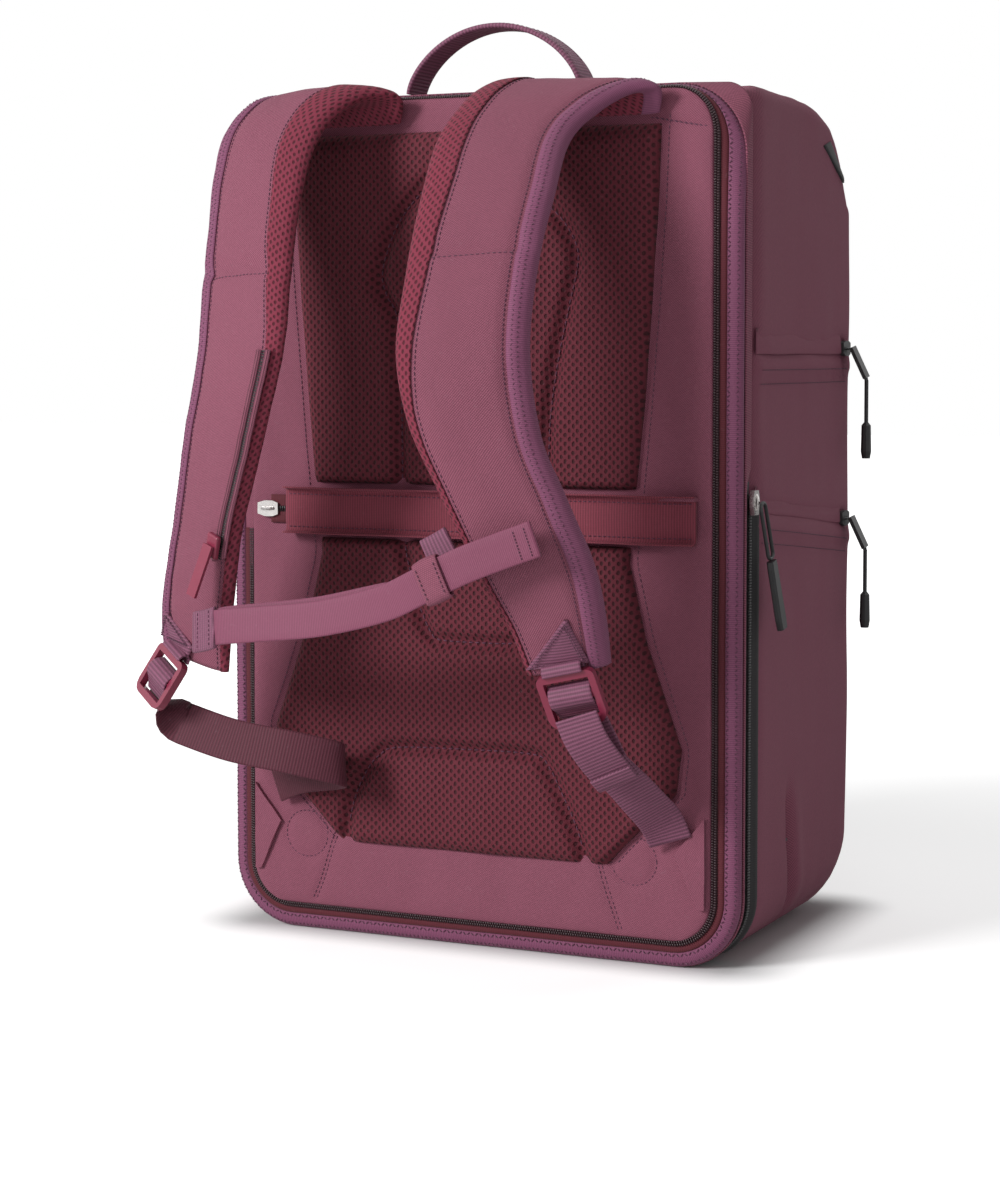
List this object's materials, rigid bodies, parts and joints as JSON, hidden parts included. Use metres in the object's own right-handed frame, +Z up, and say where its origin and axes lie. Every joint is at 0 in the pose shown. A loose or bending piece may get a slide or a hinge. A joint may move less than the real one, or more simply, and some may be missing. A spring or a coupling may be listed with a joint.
{
  "type": "travel backpack",
  "caption": "Panel-loading travel backpack with a hinged mesh harness panel, padded shoulder straps, zipped side pockets and a top grab handle.",
  "frame": {"origin": "on the flat base, midway across the bag and midway through its depth", "axes": "+Z up to the handle, the harness side faces -Y, +X towards the zipped side pockets"},
  "size_m": [0.366, 0.3533, 0.5409],
  "materials": {
    "twill_cloth": "heathered wine twill weave, matt",
    "binding_cloth": "purple grosgrain binding, matt",
    "mesh_cloth": "dark wine spacer mesh, matt",
    "webbing_cloth": "ribbed polyamide webbing, slight sheen",
    "lining_cloth": "plain dark grey lining, matt",
    "black_tape": "black zip tape and spiral teeth, matt",
    "foam": "grey closed-cell foam, matt",
    "board": "grey polyethylene sheet, matt",
    "wine_plastic": "wine-coloured acetal, glossy",
    "black_rubber": "black moulded rubber, satin",
    "silver_metal": "silver-coloured metal, satin"
  },
  "bodies": {
    "bag": {"front_shell": "twill_cloth", "rear_gusset": "twill_cloth", "rim_binding": "binding_cloth", "panel_zip_tape": "black_tape", "panel_zip_outer_chain": "black_tape", "laptop_tray": "lining_cloth", "laptop_sleeve": "lining_cloth", "base_board": "board", "main_zip_tape": "twill_cloth", "main_zip_chain": "black_tape", "upper_pocket_zip_chain": "black_tape", "lower_pocket_zip_chain": "black_tape", "upper_pocket_storm_flap": "twill_cloth", "lower_pocket_storm_flap": "twill_cloth", "upper_pocket_lining": "lining_cloth", "lower_pocket_lining": "lining_cloth", "top_pocket_strip": "black_tape"},
    "harness_panel": {"back_panel_cover": "twill_cloth", "frame_sheet": "board", "panel_zip_inner_chain": "black_tape", "panel_hinge_cloth": "twill_cloth", "upper_back_foam": "foam", "lower_back_foam": "foam", "upper_back_mesh": "mesh_cloth", "lower_back_mesh": "mesh_cloth", "zip_cover_band": "webbing_cloth", "band_upper_seam": "webbing_cloth", "band_zip_chain": "black_tape", "shoulder_pad_left": "twill_cloth", "shoulder_pad_right": "twill_cloth", "strap_lining_left": "mesh_cloth", "strap_lining_right": "mesh_cloth", "strap_binding_left": "binding_cloth", "strap_binding_right": "binding_cloth", "strap_pocket_chain": "black_tape", "anchor_webbing_left": "webbing_cloth", "anchor_webbing_right": "webbing_cloth", "lower_webbing_left": "webbing_cloth", "lower_webbing_right": "webbing_cloth", "corner_tab_left": "twill_cloth", "corner_tab_right": "twill_cloth", "sternum_keeper": "wine_plastic", "sternum_hook_ring": "wine_plastic"},
    "main_zip_slider": {"main_slider": "silver_metal"},
    "main_zip_pull": {"main_pull_loop": "silver_metal", "main_pull_grip": "black_rubber"},
    "upper_zip_slider": {"upper_pocket_slider": "black_rubber"},
    "upper_zip_pull": {"upper_pocket_pull_tab": "black_rubber", "upper_pocket_pull_cord": "black_rubber"},
    "lower_zip_slider": {"lower_pocket_slider": "black_rubber"},
    "lower_zip_pull": {"lower_pocket_pull_tab": "black_rubber", "lower_pocket_pull_cord": "black_rubber"},
    "band_zip_slider": {"band_slider": "silver_metal"},
    "strap_zip_slider": {"strap_slider": "wine_plastic"},
    "strap_zip_pull": {"strap_pull": "wine_plastic"},
    "top_handle": {"grab_handle": "webbing_cloth"},
    "sternum_strap": {"sternum_webbing": "binding_cloth", "sternum_cuff": "twill_cloth"},
    "left_lock": {"ladder_lock_left": "wine_plastic"},
    "right_lock": {"ladder_lock_right": "wine_plastic"}
  },
  "joints": [
    {"name": "panel_open", "type": "hinge", "parent": "bag", "child": "harness_panel", "pos_m": [-0.1511, -0.1075, 0.25], "axis": [0, 0, -1], "range_deg": [0, 100]},
    {"name": "main_zip_travel", "type": "slide", "parent": "bag", "child": "main_zip_slider", "axis": [0, 0, 1], "range_m": [-0.2, 0]},
    {"name": "main_pull_swing", "type": "hinge", "parent": "main_zip_slider", "child": "main_zip_pull", "pos_m": [0.1704, -0.0867, 0.265], "axis": [0, -1, 0], "range_deg": [0, 170]},
    {"name": "upper_zip_travel", "type": "slide", "parent": "bag", "child": "upper_zip_slider", "axis": [0, 1, 0], "range_m": [-0.138, 0]},
    {"name": "upper_pull_swing", "type": "hinge", "parent": "upper_zip_slider", "child": "upper_zip_pull", "pos_m": [0.1708, 0.079, 0.352], "axis": [0, -1, 0], "range_deg": [0, 150]},
    {"name": "lower_zip_travel", "type": "slide", "parent": "bag", "child": "lower_zip_slider", "axis": [0, 0.9951, -0.0989], "range_m": [-0.138, 0]},
    {"name": "lower_pull_swing", "type": "hinge", "parent": "lower_zip_slider", "child": "lower_zip_pull", "pos_m": [0.1708, 0.079, 0.2468], "axis": [0, -1, 0], "range_deg": [0, 150]},
    {"name": "band_zip_travel", "type": "slide", "parent": "harness_panel", "child": "band_zip_slider", "axis": [1, 0, 0], "range_m": [0, 0.25]},
    {"name": "strap_zip_travel", "type": "hinge", "parent": "harness_panel", "child": "strap_zip_slider", "pos_m": [0.14604, 0.40869, 0.29765], "axis": [-0.8763, 0.329, 0.3518], "range_deg": [0, 8.1]},
    {"name": "strap_pull_swing", "type": "hinge", "parent": "strap_zip_slider", "child": "strap_zip_pull", "pos_m": [-0.11243, -0.21849, 0.24028], "axis": [-0.8763, 0.329, 0.3518], "range_deg": [0, 140]},
    {"name": "handle_fold", "type": "hinge", "parent": "bag", "child": "top_handle", "pos_m": [0.007, -0.073, 0.5012], "axis": [-1, 0, 0], "range_deg": [0, 85]},
    {"name": "sternum_swing", "type": "hinge", "parent": "harness_panel", "child": "sternum_strap", "pos_m": [-0.1035, -0.225, 0.1957], "axis": [0, 0, -1], "range_deg": [0, 100]},
    {"name": "left_lock_tilt", "type": "hinge", "parent": "harness_panel", "child": "left_lock", "pos_m": [-0.15716, -0.18507, 0.17185], "axis": [-0.7813, 0.5209, 0.3438], "range_deg": [-8, 25], "deforming": ["lower_webbing_left"]},
    {"name": "right_lock_tilt", "type": "hinge", "parent": "harness_panel", "child": "right_lock", "pos_m": [0.09384, -0.18827, 0.17478], "axis": [-0.9724, -0.0614, -0.2252], "range_deg": [-8, 25], "deforming": ["lower_webbing_right"]}
  ]
}
